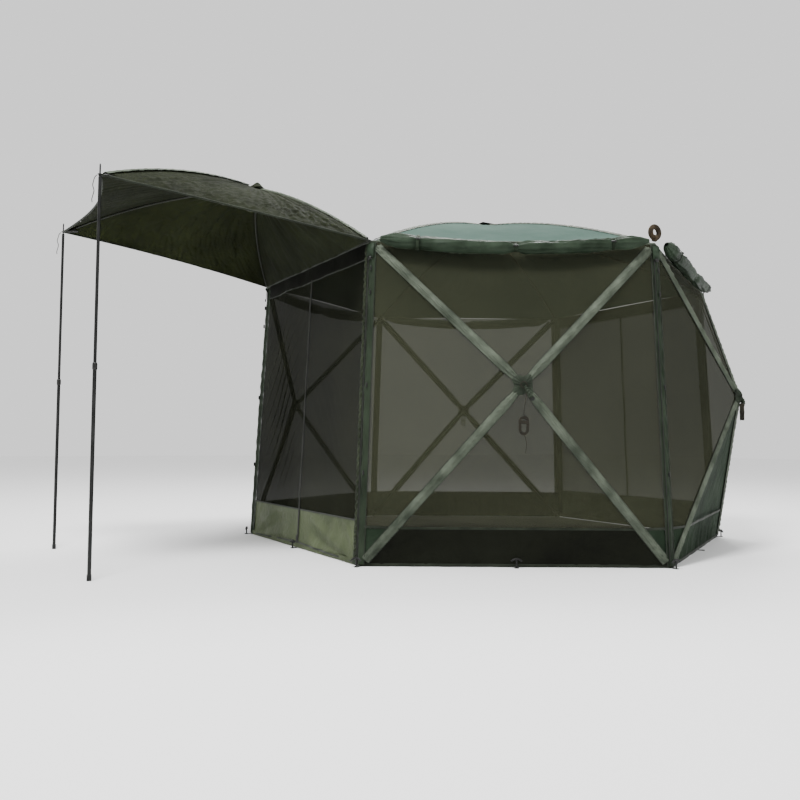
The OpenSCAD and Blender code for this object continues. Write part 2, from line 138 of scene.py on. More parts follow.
def square_to(a, b, v):
    """The part of v that is square to the line from a to b."""
    way = unit(np.asarray(b, float) - a)
    return np.asarray(v, float) - way * (way @ v)


def normal_of(a, b, c):
    return unit(np.cross(b - a, c - a))


def flat_normal(k):
    """The outward normal of the plane through a wall's four corners."""
    return normal_of(base(k), base(k + 1), top(k + 1))


def side_normal(corner, right):
    """The outward normal of the fabric beside a corner line."""
    k = corner % 6 if right else (corner - 1) % 6
    if k in DOORS:
        return flat_normal(k)
    return normal_of(*faces_of(k)[3 if right else 1])


def waves(points, scale, seed, count=7):
    """Smooth, repeatable noise between about -1 and 1 at each point."""
    rng = np.random.default_rng(seed)
    ways = unit(rng.normal(size=(count, points.shape[-1])))
    pitch = rng.uniform(0.6, 1.7, count) * tau / scale
    phase = rng.uniform(0, tau, count)
    return np.sin((points @ ways.T) * pitch + phase).sum(-1) / sqrt(count)


# ---- meshes ----
def linked(name, data):
    obj = bpy.data.objects.new(name, data)
    bpy.context.collection.objects.link(obj)
    return obj


def from_bmesh(name, mesh, bm, material):
    """A smooth object from bm. material is one material or a list of them."""
    bm.to_mesh(mesh)
    bm.free()
    for m in material if isinstance(material, list) else [material]:
        mesh.materials.append(m)
    for p in mesh.polygons:
        p.use_smooth = True
    return linked(name, mesh)


@contextmanager
def editing(obj):
    """The object's mesh as a bmesh, written back at the end."""
    bm = bmesh.new()
    bm.from_mesh(obj.data)
    yield bm
    bm.to_mesh(obj.data)
    bm.free()


def new_mesh(name, points, faces, material, weld=0.0):
    mesh = bpy.data.meshes.new(name)
    mesh.from_pydata([tuple(p) for p in points], [], [tuple(f) for f in faces])
    bm = bmesh.new()
    bm.from_mesh(mesh)
    if weld:
        bmesh.ops.remove_doubles(bm, verts=bm.verts, dist=weld)
    return from_bmesh(name, mesh, bm, material)


def grid_faces(rows, cols, closed=False):
    out = []
    for i in range(rows - 1):
        for j in range(cols if closed else cols - 1):
            a, b = i * cols + j, i * cols + (j + 1) % cols
            out.append((a, b, b + cols, a + cols))
    return out


def tube_faces(rows, cols, ends=True):
    faces = grid_faces(rows, cols, closed=True)
    if ends:
        faces.append(tuple(range(cols))[::-1])
        faces.append(tuple((rows - 1) * cols + j for j in range(cols)))
    return faces


def grid_mesh(name, rows, cols, point, material):
    """A sheet of rows by cols points. point(i, u) is the one in row i, u from 0 to 1 across."""
    points = [point(i, j / (cols - 1)) for i in range(rows) for j in range(cols)]
    return new_mesh(name, points, grid_faces(rows, cols), material)


def tube(name, points, radius, material, sides=12, ends=True):
    """A round tube along points. radius is one number or one for each point."""
    p = np.asarray(points, float)
    r = np.broadcast_to(np.asarray(radius, float), (len(p),))
    way = unit(np.gradient(p, axis=0))
    side = np.cross(way[0], UP if abs(way[0][2]) < 0.9 else np.array([1.0, 0, 0]))
    rings = []
    for i, w in enumerate(way):
        side = unit(side - w * (side @ w))
        other = np.cross(w, side)
        a = np.linspace(0, tau, sides, endpoint=False)
        rings.append(p[i] + r[i] * (np.cos(a)[:, None] * side + np.sin(a)[:, None] * other))
    return new_mesh(name, np.concatenate(rings), tube_faces(len(p), sides, ends), material)


def band(name, points, sides, normals, width, height, material, cols=13, shape=None):
    """A strip along points. height(v, s) is its rise at v, -1 to 1 across, and s, 0 to 1 along."""
    p, side, up = (np.asarray(x, float) for x in (points, sides, normals))
    s = np.linspace(0, 1, len(p))
    v = np.linspace(-1, 1, cols)
    grid = np.empty((len(p), cols, 3))
    for j, across in enumerate(v):
        w = width * (shape(s) if shape else 1) * across / 2
        rise = height(np.full_like(s, across), s)
        grid[:, j] = p + side * np.reshape(w * np.ones_like(s), (-1, 1)) + up * rise[:, None]
    return new_mesh(name, grid.reshape(-1, 3), grid_faces(len(p), cols), material)


def rounded(rise, ridges=0.0, pitch=0.0):
    """The rise of a narrow tape: rounded across it, with fine ridges along it."""
    return lambda v, s: rise * (1 - v ** 2) + ridges * np.sin(pitch * s)


def thicken(obj, depth):
    """Gives a sheet its thickness, on both sides, and applies it."""
    mod = obj.modifiers.new("thickness", "SOLIDIFY")
    mod.thickness = depth
    mod.offset = 0
    bpy.context.view_layer.objects.active = obj
    with bpy.context.temp_override(object=obj, active_object=obj, selected_objects=[obj]):
        bpy.ops.object.modifier_apply(modifier=mod.name)


def block(name, centre, x, z, size, material, bevel=0.15):
    """A moulded block with rounded edges. x and z are its own axes and size is along x, y and z."""
    x, z = unit(x), unit(z)
    x = unit(x - z * (x @ z))
    y = np.cross(z, x)
    bm = bmesh.new()
    bmesh.ops.create_cube(bm, size=1)
    for v in bm.verts:
        c = np.array(v.co) * size
        v.co = Vector(np.asarray(centre) + c[0] * x + c[1] * y + c[2] * z)
    bmesh.ops.bevel(bm, geom=bm.edges[:], offset=min(size) * bevel, segments=3, affect="EDGES")
    return from_bmesh(name, bpy.data.meshes.new(name), bm, material)


def add_toggle(name, at, way, reach, girth):
    """A small barrel toggle along way. girth is its radii from an end to the middle."""
    radii = [*girth, girth[-1], *girth[::-1]]
    line = [at + way * x for x in np.linspace(-reach, reach, len(radii))]
    attach(tube(name, line, radii, HUB_PLASTIC, sides=10), "house", "ties")


def flat_area(triangles):
    """The area of cloth cut as flat triangles."""
    return float(sum(np.linalg.norm(np.cross(b - a, c - a)) / 2 for a, b, c in triangles))


def attach(obj, body, slot, *nodes):
    """Has obj ride on body, in place of the CAD nodes. slot is not used."""
    if nodes:
        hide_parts(*nodes)
    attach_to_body(obj, body)


def join(obj, body, slot, start, end, *nodes):
    """For a piece that reaches from the house, at start, to a body that moves, at end: hides the CAD nodes
    and bakes the object's transform into its mesh. body and slot are not used, and start and end are read
    but have no effect.
    """
    if nodes:
        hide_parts(*nodes)
    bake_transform(obj)
    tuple(start)
    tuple(end)


# ---- materials ----
def srgb(r, g, b):
    return tuple((c / 255 / 12.92 if c / 255 <= 0.04045 else ((c / 255 + 0.055) / 1.055) ** 2.4)
                 for c in (r, g, b)) + (1.0,)


def node(mat, kind, sockets, **settings):
    """A shader node. Each of its sockets takes a value, or a link from another node's output."""
    made = mat.node_tree.nodes.new("ShaderNode" + kind)
    for key, value in settings.items():
        setattr(made, key, value)
    fill(mat, made, sockets)
    return made


def fill(mat, made, sockets):
    for key, value in sockets.items():
        if isinstance(value, bpy.types.NodeSocket):
            mat.node_tree.links.new(value, made.inputs[key])
        else:
            made.inputs[key].default_value = value


def noise(mat, at, scale, detail=2.0, distortion=0.0):
    sockets = {"Vector": at, "Scale": scale, "Detail": detail, "Distortion": distortion}
    return node(mat, "TexNoise", sockets).outputs["Fac"]


def threads(mat, at, spacing, way, **sockets):
    """Parallel bands, one every spacing metres."""
    sockets |= {"Vector": at, "Scale": 0.314 / spacing}
    return node(mat, "TexWave", sockets, bands_direction=way)


def bump(mat, height, strength, distance, below=None, invert=False):
    """Raises the surface by height, on top of the bump below."""
    sockets = {"Height": height, "Strength": strength, "Distance": distance}
    if below is not None:
        sockets["Normal"] = below
    return node(mat, "Bump", sockets, invert=invert).outputs["Normal"]


def two_tones(mat, fac, low, high, start, end):
    """The sRGB colours low, where fac is up to start, and high, where it is past end."""
    made = node(mat, "ValToRGB", {"Fac": fac})
    for spot, position, colour in zip(made.color_ramp.elements, (start, end), (low, high)):
        spot.position = position
        spot.color = srgb(*colour)
    return made.outputs["Color"]


def uneven(mat, fac, rough, spread, least):
    """A roughness that strays by spread either way."""
    ends = {"Value": fac, "To Min": max(least, rough - spread), "To Max": min(1.0, rough + spread)}
    return node(mat, "MapRange", ends).outputs["Result"]


def new_material(name):
    """A material and the object's own coordinates."""
    mat = bpy.data.materials.new(name)
    mat.use_nodes = True
    return mat, node(mat, "TexCoord", {}).outputs["Object"]


def shader_of(mat):
    return mat.node_tree.nodes["Principled BSDF"]


def cloth(name, low, high, rough=0.8, weave=0.0016, crinkle=0.004, patch=1.2, alpha=1.0, sheen=0.0,
          folds=0.0, through=0.0, sharp=0.0, threads_deep=0.0004):
    """Woven fabric: two thread directions, fine crinkles, soft folds, sharp creases and uneven colour.
    low and high are its darker and lighter sRGB colours, and weave is the thread spacing."""
    mat, at = new_material(name)
    colour = two_tones(mat, noise(mat, at, patch, 6), low, high, 0.3, 0.7)
    warp, weft = (threads(mat, at, weave, way, **{"Distortion": 1.5, "Detail Scale": 2.0}) for way in "XZ")
    both = node(mat, "Math", {0: warp.outputs["Fac"], 1: weft.outputs["Fac"]}, operation="ADD")
    shade = node(mat, "Mix", {"Factor": 0.22, "A": colour, "B": warp.outputs["Color"]},
                 data_type="RGBA", blend_type="MULTIPLY")
    normal = bump(mat, both.outputs["Value"], 0.25, threads_deep)
    normal = bump(mat, noise(mat, at, 16, 4, 1.2), 0.6, crinkle, normal)
    if folds:
        normal = bump(mat, noise(mat, at, 3.5, 3, 2.0), 0.8, folds, normal)
    if sharp:
        centred = node(mat, "Math", {0: noise(mat, at, 7, 2, 1.5), 1: 0.5}, operation="SUBTRACT")
        line = node(mat, "Math", {0: centred.outputs["Value"]}, operation="ABSOLUTE")
        normal = bump(mat, line.outputs["Value"], 0.9, sharp, normal, invert=True)
    fill(mat, shader_of(mat), {
        "Base Color": shade.outputs["Result"], "Normal": normal, "Alpha": alpha,
        "Roughness": uneven(mat, noise(mat, at, 9, 5), rough, 0.12, 0.2), "Specular IOR Level": 0.05,
        "Sheen Weight": sheen, "Subsurface Weight": through, "Subsurface Radius": (0.5, 0.5, 0.4),
        "Subsurface Scale": 0.01})
    return mat


def moulded(name, low, high, rough=0.5, metallic=0.0, grain=220, depth=0.0003):
    """Moulded plastic, rod or tube: fine grain, handling marks and slightly uneven gloss."""
    mat, at = new_material(name)
    marks = noise(mat, at, 14, 8)
    fill(mat, shader_of(mat), {
        "Base Color": two_tones(mat, marks, low, high, 0.35, 0.68), "Metallic": metallic,
        "Roughness": uneven(mat, marks, rough, 0.15, 0.1), "Specular IOR Level": 0.3,
        "Normal": bump(mat, noise(mat, at, grain), 0.3, depth)})
    return mat


def braided(name, low, high, pitch):
    """Braided cord: slanting strands in two shades."""
    mat = moulded(name, low, high, rough=0.85, grain=400)
    at = next(x for x in mat.node_tree.nodes if x.type == "TEX_COORD").outputs["Object"]
    strand = threads(mat, at, pitch, "DIAGONAL", Distortion=2)
    fill(mat, shader_of(mat), {"Normal": bump(mat, strand.outputs["Fac"], 0.8, 0.0012)})
    return mat


ROOF = cloth("roof_polyester", (54, 75, 67), (71, 92, 83), rough=0.85, crinkle=0.002,
             folds=0.004, patch=1.5)
AWNING = cloth("awning_polyester", (18, 21, 12), (31, 35, 23), folds=0.004,
               patch=3, through=0.35, sharp=0.009)
MESH = cloth("insect_mesh", (38, 40, 29), (50, 52, 39), rough=0.9, weave=0.0013, crinkle=0.0006,
             patch=0.8, alpha=0.8, threads_deep=0.0)
CURTAIN = cloth("door_mesh", (18, 20, 12), (29, 31, 21), rough=0.9, weave=0.0013, crinkle=0.0005,
                folds=0.004, patch=2.5, alpha=0.92, threads_deep=0.0)
# skirt cloth of the braced walls: a sage painted much darker than it is, as the shade on each wall's foot,
# which faces down
SHADED_SKIRT_CLOTH = cloth("skirt_polyester_painted_shade", (14, 15, 11), (25, 27, 20), crinkle=0.003,
                    folds=0.004, patch=2.2, sharp=0.008)
DOOR_FOOT = cloth("door_foot_satin", (60, 67, 47), (92, 101, 76), rough=0.45, folds=0.006,
                  patch=3, sharp=0.01)
GUSSET = cloth("gusset_polyester", (24, 34, 24), (42, 54, 41), rough=0.75, folds=0.006,
               patch=4, sharp=0.014)
SLEEVE_CLOTH = cloth("sleeve_polyester", (50, 56, 47), (88, 95, 83), rough=0.5, crinkle=0.003,
                     folds=0.002, patch=9, sharp=0.005)
STRIP_CLOTH = cloth("strip_polyester", (26, 33, 24), (46, 55, 43), rough=0.5, crinkle=0.002,
                    folds=0.003, patch=4, sharp=0.003)
ROLL_CLOTH = cloth("rolled_polyester", (28, 37, 27), (54, 66, 53), rough=0.42,
                   folds=0.004, patch=6, sharp=0.01)
HUB_CLOTH = cloth("hub_polyester", (28, 33, 26), (52, 59, 49), rough=0.45, crinkle=0.003, patch=9)
FLAP_CLOTH = cloth("flap_polyester", (30, 35, 25), (54, 60, 46), rough=0.42, crinkle=0.002, patch=6)
LINTEL = cloth("lintel_polyester", (10, 11, 8), (18, 20, 14), rough=0.7, crinkle=0.002, patch=5)
TRIM = cloth("trim_webbing", (24, 28, 21), (40, 45, 36), weave=0.002, crinkle=0.001, patch=9,
             sheen=0.15)
DARK_WEB = cloth("dark_webbing", (12, 13, 10), (24, 26, 20), rough=0.85, weave=0.002, crinkle=0.001,
                 patch=12, sheen=0.15)
SHEET = cloth("groundsheet_weave", (168, 163, 157), (184, 179, 173), rough=0.55, weave=0.003,
              folds=0.006, patch=1.5, sheen=0.15)
HUB_PLASTIC = moulded("hub_plastic", (9, 10, 8), (19, 20, 16), rough=0.45)
BRACKET_PLASTIC = moulded("bracket_plastic", (20, 22, 18), (34, 36, 31), rough=0.55)
ROD = moulded("fibreglass_rod", (24, 26, 21), (40, 42, 36), rough=0.4, grain=500)
TUBE = moulded("satin_tube", (16, 17, 16), (32, 33, 32), rough=0.4, metallic=0.4, grain=600,
               depth=0.0001)
STEEL = moulded("peg_steel", (5, 5, 5), (14, 14, 13), rough=0.5)
ZIP_METAL = moulded("zip_plastic", (26, 28, 22), (44, 46, 38), rough=0.4)
CORD = braided("guy_cord", (18, 17, 12), (38, 35, 26), 0.004)
ROPE = braided("guy_rope", (32, 25, 15), (74, 60, 38), 0.005)


# ---- camera, first of all ----
CAMERA_AT, CAMERA_LENS, CAMERA_SENSOR = (4.838, -3.595, 0.7), 35.64, 36
CAMERA_YAW, CAMERA_PITCH, CAMERA_ROLL = radians(149.49), radians(2.98), radians(-0.414)


def aim(obj, at, way, roll=0.0):
    """Puts a camera or lamp at a point, looking along way."""
    obj.location = at
    obj.rotation_mode = "QUATERNION"
    look = way.to_track_quat("-Z", "Y")
    obj.rotation_quaternion = Quaternion(way, roll) @ look if roll else look


def add_camera():
    level = cos(CAMERA_PITCH)
    way = Vector((cos(CAMERA_YAW) * level, sin(CAMERA_YAW) * level, sin(CAMERA_PITCH)))
    data = bpy.data.cameras.new("camera")
    data.sensor_width = CAMERA_SENSOR
    data.lens = CAMERA_LENS
    data.clip_end = 100
    obj = linked("camera", data)
    aim(obj, CAMERA_AT, way, CAMERA_ROLL)
    bpy.context.scene.camera = obj


# ---- cords, each one open curve ----
GUY_ROUTE = [(1.798, 0.01, 0.975), (1.806, 0.012, 0.95), (1.806, 0.008, 0.92),
             (1.803, 0.003, 0.89), (1.801, 0.0, 0.862), (1.8, 0.0, 0.84)]
GUY_TAIL = [(1.8, 0.004, 0.738), (1.801, 0.009, 0.715), (1.806, 0.013, 0.69),
            (1.809, 0.01, 0.665), (1.807, 0.006, 0.642)]
TIP_ROUTE = [(0, -0.014, -0.006), (0, -0.024, -0.018), (0.002, -0.03, -0.04),
             (-0.003, -0.034, -0.064), (-0.001, -0.027, -0.088), (0.004, -0.031, -0.112),
             (0.002, -0.036, -0.134), (0, -0.034, -0.15)]


def smooth_path(points, step=0.006):
    """A Catmull-Rom line through points, with a point every step metres."""
    p = np.asarray(points, float)
    p = np.vstack([2 * p[0] - p[1], p, 2 * p[-1] - p[-2]])
    out = []
    for i in range(1, len(p) - 2):
        count = max(2, int(np.linalg.norm(p[i + 1] - p[i]) / step))
        for t in np.linspace(0, 1, count, endpoint=False):
            a, b, c, d = p[i - 1:i + 3]
            out.append(0.5 * (2 * b + (c - a) * t + (2 * a - 5 * b + 4 * c - d) * t * t
                              + (3 * b - a - 3 * c + d) * t ** 3))
    out.append(p[-2])
    return np.array(out)


def cord_curve(name, points, diameter, material):
    data = bpy.data.curves.new(name, "CURVE")
    data.dimensions = "3D"
    data.bevel_depth = diameter / 2
    data.bevel_resolution = 3
    data.use_fill_caps = True
    line = data.splines.new("POLY")
    line.points.add(len(points) - 1)
    for spot, p in zip(line.points, points):
        spot.co = (*p, 1)
    data.materials.append(material)
    return linked(name, data)


TURN_POINTS = 28
# the middle of the coil of rope is two such radii above the eaves
COIL_R = 0.034


def hank_turns(top_point, length, radii, layers, mess=1.0):
    """The windings of a folded hank in a wall's frame: racetrack turns side by side, layer on layer.
    radii are the turns' half widths, and mess how far they stray."""
    out = []
    x0, y0, z0 = top_point
    gap = CORD_D * 1.06
    middle = z0 - length / 2
    half = length / 2 - max(radii) - CORD_D / 2
    order = [(layer, r) for layer in range(layers) for r in (radii if layer % 2 == 0 else radii[::-1])]
    for n, (layer, r) in enumerate(order):
        x = x0 + (layer - (layers - 1) / 2) * gap
        after = order[min(n + 1, len(order) - 1)]
        step = (after[0] - layer) * gap
        for i in range(TURN_POINTS):
            t = i / TURN_POINTS
            a = pi / 2 - tau * t
            late = max(0.0, (t - 0.8) / 0.2)
            wide = r + (after[1] - r) * late
            # a little untidiness, so that the turns don't lie in one plane
            lean = 0.0012 * mess * sin(5 * a + 2.1 * layer + n)
            z = middle + (half if sin(a) > 0 else -half) + wide * sin(a)
            out.append((x + step * late + 0.1 * gap * sin(a + layer),
                        y0 + wide * cos(a) + 0.25 * lean, z + lean))
    return out


def add_hank_tie(k, point, width, thick):
    """The few tight turns of cord round the middle of a hank."""
    x0, y0, z0 = point
    line = [in_wall(k, (x0 + thick * cos(tau * i / 16), y0 + width * sin(tau * i / 16),
                        z0 + 0.0042 * (i / 16 - 2))) for i in range(64)]
    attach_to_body(tube(f"hank_tie_{k}", line, CORD_D * 0.52, CORD, sides=8), f"wall_hub_{k}")


def add_guylines():
    drop = [in_wall(1, p) for p in GUY_ROUTE]
    turns = hank_turns((1.8, 0, 0.838), 0.1, (0.016, 0.0204, 0.0248), 4, 2.0)
    # the last turn ends at the bottom, where the tail leaves
    turns = [in_wall(1, p) for p in turns[:-TURN_POINTS // 2]]
    tail = [in_wall(1, p) for p in GUY_TAIL]
    line = np.vstack([smooth_path(drop), turns, smooth_path(tail)])
    guy = cord_curve("guyline_hub_1", line, CORD_D, CORD)
    attach(guy, "wall_hub_1", "cord", "guyline_1", "hank_1")
    in_wall(1, GUY_ROUTE[0])
    add_hank_tie(1, (1.8, 0, 0.806), 0.0275, 0.0115)
    for k in (2, 4):
        lead = [(1.778, 0.004, 0.972), (1.79, 0.006, 0.968), (1.797, 0.004, 0.962)]
        turns = hank_turns((1.8, 0, 0.96), 0.11, (0.012, 0.0162), 6)
        line = np.array([in_wall(k, p) for p in lead + turns])
        guy = cord_curve(f"guyline_hub_{k}", line, CORD_D, CORD)
        attach(guy, f"wall_hub_{k}", "cord", f"hank_{k}")
        in_wall(k, lead[0])
        add_hank_tie(k, (1.8, 0, 0.905), 0.021, 0.014)


def add_corner_coil():
    """The rope wound into a round coil that stands on the eaves, across corner 2."""
    middle = polar(TOP_R + 0.004, corner_angle(2), EAVES + 2 * COIL_R)
    axis = np.cross(ACROSS, UP)
    gap = ROPE_D * 1.04
    spots = [(0, 0)]
    for out, first, count in ((gap, 0, 6), (1.9 * gap, 0.26, 11)):
        spots += [(out * cos(a), out * sin(a))
                  for a in np.linspace(first, tau + first, count, endpoint=False)]
    line = []
    for n, (dr, da) in enumerate(spots):
        nr, na = spots[min(n + 1, len(spots) - 1)]
        for i in range(36):
            t = i / 36
            mix = max(0.0, (t - 0.8) / 0.2) ** 2 * 0.9
            r = COIL_R + dr + (nr - dr) * mix
            a = -pi / 2 + tau * t
            line.append(on_ring(middle, ACROSS, UP, r, a) + axis * (da + (na - da) * mix))
    line = np.array(line)
    coil = cord_curve("corner_rope_coil", line, ROPE_D, ROPE)
    attach(coil, "house", "cord", "corner_guy_coil")
    tie = [on_ring(middle - UP * COIL_R, UP, axis, 0.0172, tau * i / 15) + ACROSS * 0.0046 * (i / 15 - 2)
           for i in range(60)]
    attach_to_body(tube("corner_coil_tie", tie, ROPE_D * 0.5, ROPE, sides=8), "house")


def add_tip_cords():
    for s, name in SIDES:
        tip = awning_corner(s, True)
        line = smooth_path([tip + np.array([-s * p[0], p[1], p[2]]) for p in TIP_ROUTE])
        cord = cord_curve(f"tip_cord_{name}", line, CORD_D, CORD)
        attach(cord, f"storm_upper_{name}", "cord", "tip_cords")


# ---- walls ----
def wall_sheet(k):
    """One braced wall as a continuous sheet, pulled tight on its hub: mesh above, a skirt at the foot
    painted dark as shade, since it faces down, and a lighter gusset beside each corner."""
    rows = 64
    points, faces, kinds = [], [], []
    for index, (a, b, h) in enumerate(faces_of(k)):
        out = normal_of(a, b, h)
        ids = {}
        for j in range(rows + 1):
            t = j / rows
            count = rows - j
            for i in range(count + 1):
                u = i / count if count else 0.0
                wa, wb, wh = (1 - t) * (1 - u), (1 - t) * u, t
                p = wa * a + wb * b + wh * h
                sag = -27 * wa * wb * wh * (0.022 if index != 0 else 0.03)
                for seed, corner in enumerate((a, b, h), 1):
                    r = p - corner
                    dist = np.linalg.norm(r)
                    ang = atan2(r @ UP, r @ unit(b - a))
                    low = corner[2] < 0.1
                    fade = exp(-(dist / (0.42 if low else 0.3)) ** 2) * min(1, dist / 0.1)
                    inside = min(1, 12 * min(wa, wb, wh)) if (wa * wb * wh) else 0
                    fold = sin((34 if low else 26) * ang + seed + k + 2 * sin(9 * ang))
                    sag += (0.0065 if low else 0.0035) * fade * inside * fold
                ids[i, j] = len(points)
                points.append(p + out * sag)
        for j in range(rows):
            for i in range(rows - j):
                tri = [(ids[i, j], ids[i + 1, j], ids[i, j + 1])]
                if i < rows - j - 1:
                    tri.append((ids[i + 1, j], ids[i + 1, j + 1], ids[i, j + 1]))
                for f in tri:
                    middle = sum(points[v] for v in f) / 3
                    if np.linalg.norm(middle - h) >= 0.045:
                        faces.append(f)
                        # below the skirt line the foot face takes the skirt cloth with its painted shade
                        # and the side faces the lighter gusset cloth; wall 2's foot face is gusset cloth
                        # throughout
                        solid = k == 2 and index == 0
                        kinds.append(2 if solid else 1 + (index > 0) if middle[2] < SKIRT else 0)
    p = np.array(points)
    low = p[:, 2] < SKIRT
    away = in_wall(k, (1, 0, 0))
    ripple = 0.004 * waves(p * [1, 1, 0.25], 0.09, 40 + k) * np.clip((SKIRT - p[:, 2]) / 0.1, 0, 1)
    ripple *= np.clip(p[:, 2] / 0.03, 0, 1)
    p[low] += away * ripple[low][:, None]
    p[:, 2] = np.maximum(p[:, 2], 0.002)
    obj = new_mesh(f"wall_fabric_{k}", p, faces, [MESH, SHADED_SKIRT_CLOTH, GUSSET])
    for poly, kind in zip(obj.data.polygons, kinds):
        poly.material_index = kind
    with editing(obj) as bm:
        bmesh.ops.remove_doubles(bm, verts=bm.verts, dist=0.0004)
    flat_area(faces_of(k))
    join(obj, f"wall_hub_{k}", "mesh", wall_foot(k), hub(k), f"mesh_panel_{k}", "wall_skirts")


def wall_foot(k):
    """The foot of the hub's perpendicular on the plane through the wall's four corners."""
    out = flat_normal(k)
    h = hub(k)
    return h - out * ((h - base(k)) @ out)


def seam_frame(a, b, n1, n2, count):
    """Points along the ridge from a to b, its sideways and outward directions, and its side slope."""
    way = unit(b - a)
    up = unit(n1 + n2)
    up = unit(up - way * (up @ way))
    side = np.cross(way, up)
    slope = tan(acos(min(1, float(n1 @ n2))) / 2)
    return a + (b - a) * np.linspace(0, 1, count)[:, None], side, up, slope


def sleeve_taper(s):
    """How wide a sleeve is at s along it: it narrows into the hub's cover."""
    return 1 - 0.45 * np.clip((s - 0.9) / 0.1, 0, 1) ** 1.5


def sleeve_height(slope, width, lift, seed):
    """The rise of a pole sleeve: a ridge over the rod, stitched edges with piping, and puckers."""
    def height(v, s):
        fall = -abs(v) * width / 2 * slope
        back = lift * (1 - np.abs(v) ** 1.05) / (1 + 0.25 * np.exp(-(v / 0.16) ** 2))
        edge = 0.0035 * np.exp(-((np.abs(v) - 0.9) / 0.07) ** 2)
        where = np.stack([s * 9, v * 0.8], -1)
        pucker = 0.0018 * waves(where, 0.34, seed) * (1 - np.abs(v) ** 6)
        near = np.clip((s - 0.86) / 0.14, 0, 1)
        foot = np.clip((0.16 - s) / 0.16, 0, 1)
        scrunch = near * (0.0045 * np.sin(9 * v + 14 * s) + 0.0025 * np.sin(s * 190 + 2 * v))
        scrunch += foot * 0.0035 * np.sin(s * 150 + 5 * v + seed) * (1 - np.abs(v) ** 4)
        return fall + 0.0022 + back + edge + pucker + scrunch
    return height


def add_wall_sleeves(k):
    f = faces_of(k)
    names = ("low_left", "low_right", "high_right", "high_left")
    for i, name in enumerate(names):
        corner, h = f[i][0], hub(k)
        n1, n2 = normal_of(*f[(i + 3) % 4]), normal_of(*f[i])
        way = unit(h - corner)
        a, b = corner + way * 0.05, h - way * 0.03
        p, side, up, slope = seam_frame(a, b, n1, n2, 150)
        height = sleeve_height(slope, SLEEVE, 0.0125, 11 * k + i)
        obj = band(f"sleeve_{k}_{name}", p, side, up, SLEEVE, height, SLEEVE_CLOTH, 21, sleeve_taper)
        join(obj, f"wall_hub_{k}", "sleeves", corner, h, "pole_sleeves")
        for sign in (-1, 1):
            edge = p + side * (sign * SLEEVE * 0.49) * sleeve_taper(np.linspace(0, 1, 150))[:, None]
            edge = edge + up * (0.003 - SLEEVE / 2 * slope)
            cord = tube(f"piping_{k}_{name}_{'ab'[sign > 0]}", edge, 0.0024, TRIM, sides=6)
            join(cord, f"wall_hub_{k}", "sleeves", corner, h)


def add_wall_poles(k):
    """The fibreglass rods inside a braced wall, each from its corner bracket to the hub."""
    for side in ("left", "right"):
        for level in ("low", "high"):
            node = f"pole_{k}_{level}_{side}"
            joint = next(j for j in frame["joints"] if j["child"] == node)
            a = np.array(joint["pos_m"])
            b = in_wall(k, (HUB_R - 0.012, 0, HUB_Z))
            way = unit(b - a)
            p = a + way * np.linspace(0.004, np.linalg.norm(b - a) - 0.048, 60)[:, None]
            r = np.full(60, POLE_D / 2)
            r[:3] = 0.0062
            r[-4:] = 0.006
            r[28:31] = 0.006
            rod = tube(f"rod_{k}_{level}_{side}", p, r, ROD, sides=10)
            join(rod, f"wall_hub_{k}", "rods", a, b, node)


def add_hub_trim(k):
    """The dark gathered cover of a wall hub, its draw cord, and the bunched strap and buckle below."""
    out = in_wall(k, (1, 0, 0))
    side = in_wall(k, (0, 1, 0))
    h = hub(k)
    rings, spokes = 22, 180
    points = []
    for i in range(rings):
        q = i / (rings - 1)
        r = 0.004 + 0.06 * q
        for j in range(spokes):
            a = tau * j / spokes
            arm = cos(4 * (a - radians(48)) / 2) ** 2
            pleat = 0.0065 * sin(22 * a + 1.5 * sin(3 * a + k)) * q ** 0.7 * (1.15 - q)
            fan = r * (0.78 + 0.26 * arm) + 0.003 * sin(7 * a + k) * q
            drop = 0.022 - 0.034 * q ** 1.5 + 0.006 * arm * q
            points.append(on_ring(h + out * (drop + pleat), side, UP, fan, a))
    obj = new_mesh(f"hub_gather_{k}", points, grid_faces(rings, spokes, closed=True), HUB_CLOTH)
    attach(obj, f"wall_hub_{k}", "sleeves")
    turn = np.linspace(0, tau, 60)
    loop = [on_ring(h + out * (0.0185 + 0.002 * sin(9 * a)), side, UP, 0.016, a) for a in turn]
    attach(tube(f"hub_draw_cord_{k}", loop, 0.0032, CORD, sides=8), f"wall_hub_{k}", "cord")
    t = np.linspace(0, 1, 90)
    loop = np.array([h + out * (0.016 + 0.009 * sin(pi * x)) + side * (0.006 + 0.036 * x)
                     + UP * (-0.008 - 0.058 * x) for x in t])
    ribs = 0.0072 + 0.0048 * np.sin(pi * t) ** 0.6 + 0.0022 * np.sin(34 * t)
    attach(tube(f"hub_strap_{k}", loop, ribs, HUB_CLOTH, sides=20), f"wall_hub_{k}", "ties")
    attach(block(f"hub_buckle_{k}", h + out * 0.018 - UP * 0.074 + side * 0.044, side, out,
                 (0.026, 0.022, 0.009), HUB_PLASTIC, 0.3), f"wall_hub_{k}", "hubs")


def add_skirt_tape(k):
    """The stitched tape along the top of a wall's skirt and the hem on the ground."""
    for name, z, width in (("skirt_tape", SKIRT, 0.014), ("hem", 0.01, 0.018)):
        line = []
        foot = faces_of(k)[0]
        share = z / HUB_Z
        p0, p3 = base(k, z), base(k + 1, z)
        p1, p2 = (corner + (foot[2] - corner) * share for corner in foot[:2])
        for a, b, n in ((p0, p1, 12), (p1, p2, 80), (p2, p3, 12)):
            line += [a + (b - a) * t for t in np.linspace(0, 1, n, endpoint=False)]
        line.append(p3)
        line = np.array(line)
        out = in_wall(k, (1, 0, 0))
        line = line + out * (0.002 + 0.0015 * waves(line, 0.12, 70 + k)[:, None])
        tape = band(f"{name}_{k}", line, UP, out, width,
                    lambda v, s: 0.0012 * (1 - v ** 2) + 0.0004 * np.cos(2500 * s), TRIM, cols=7)
        join(tape, f"wall_hub_{k}", "skirts", wall_foot(k), hub(k))


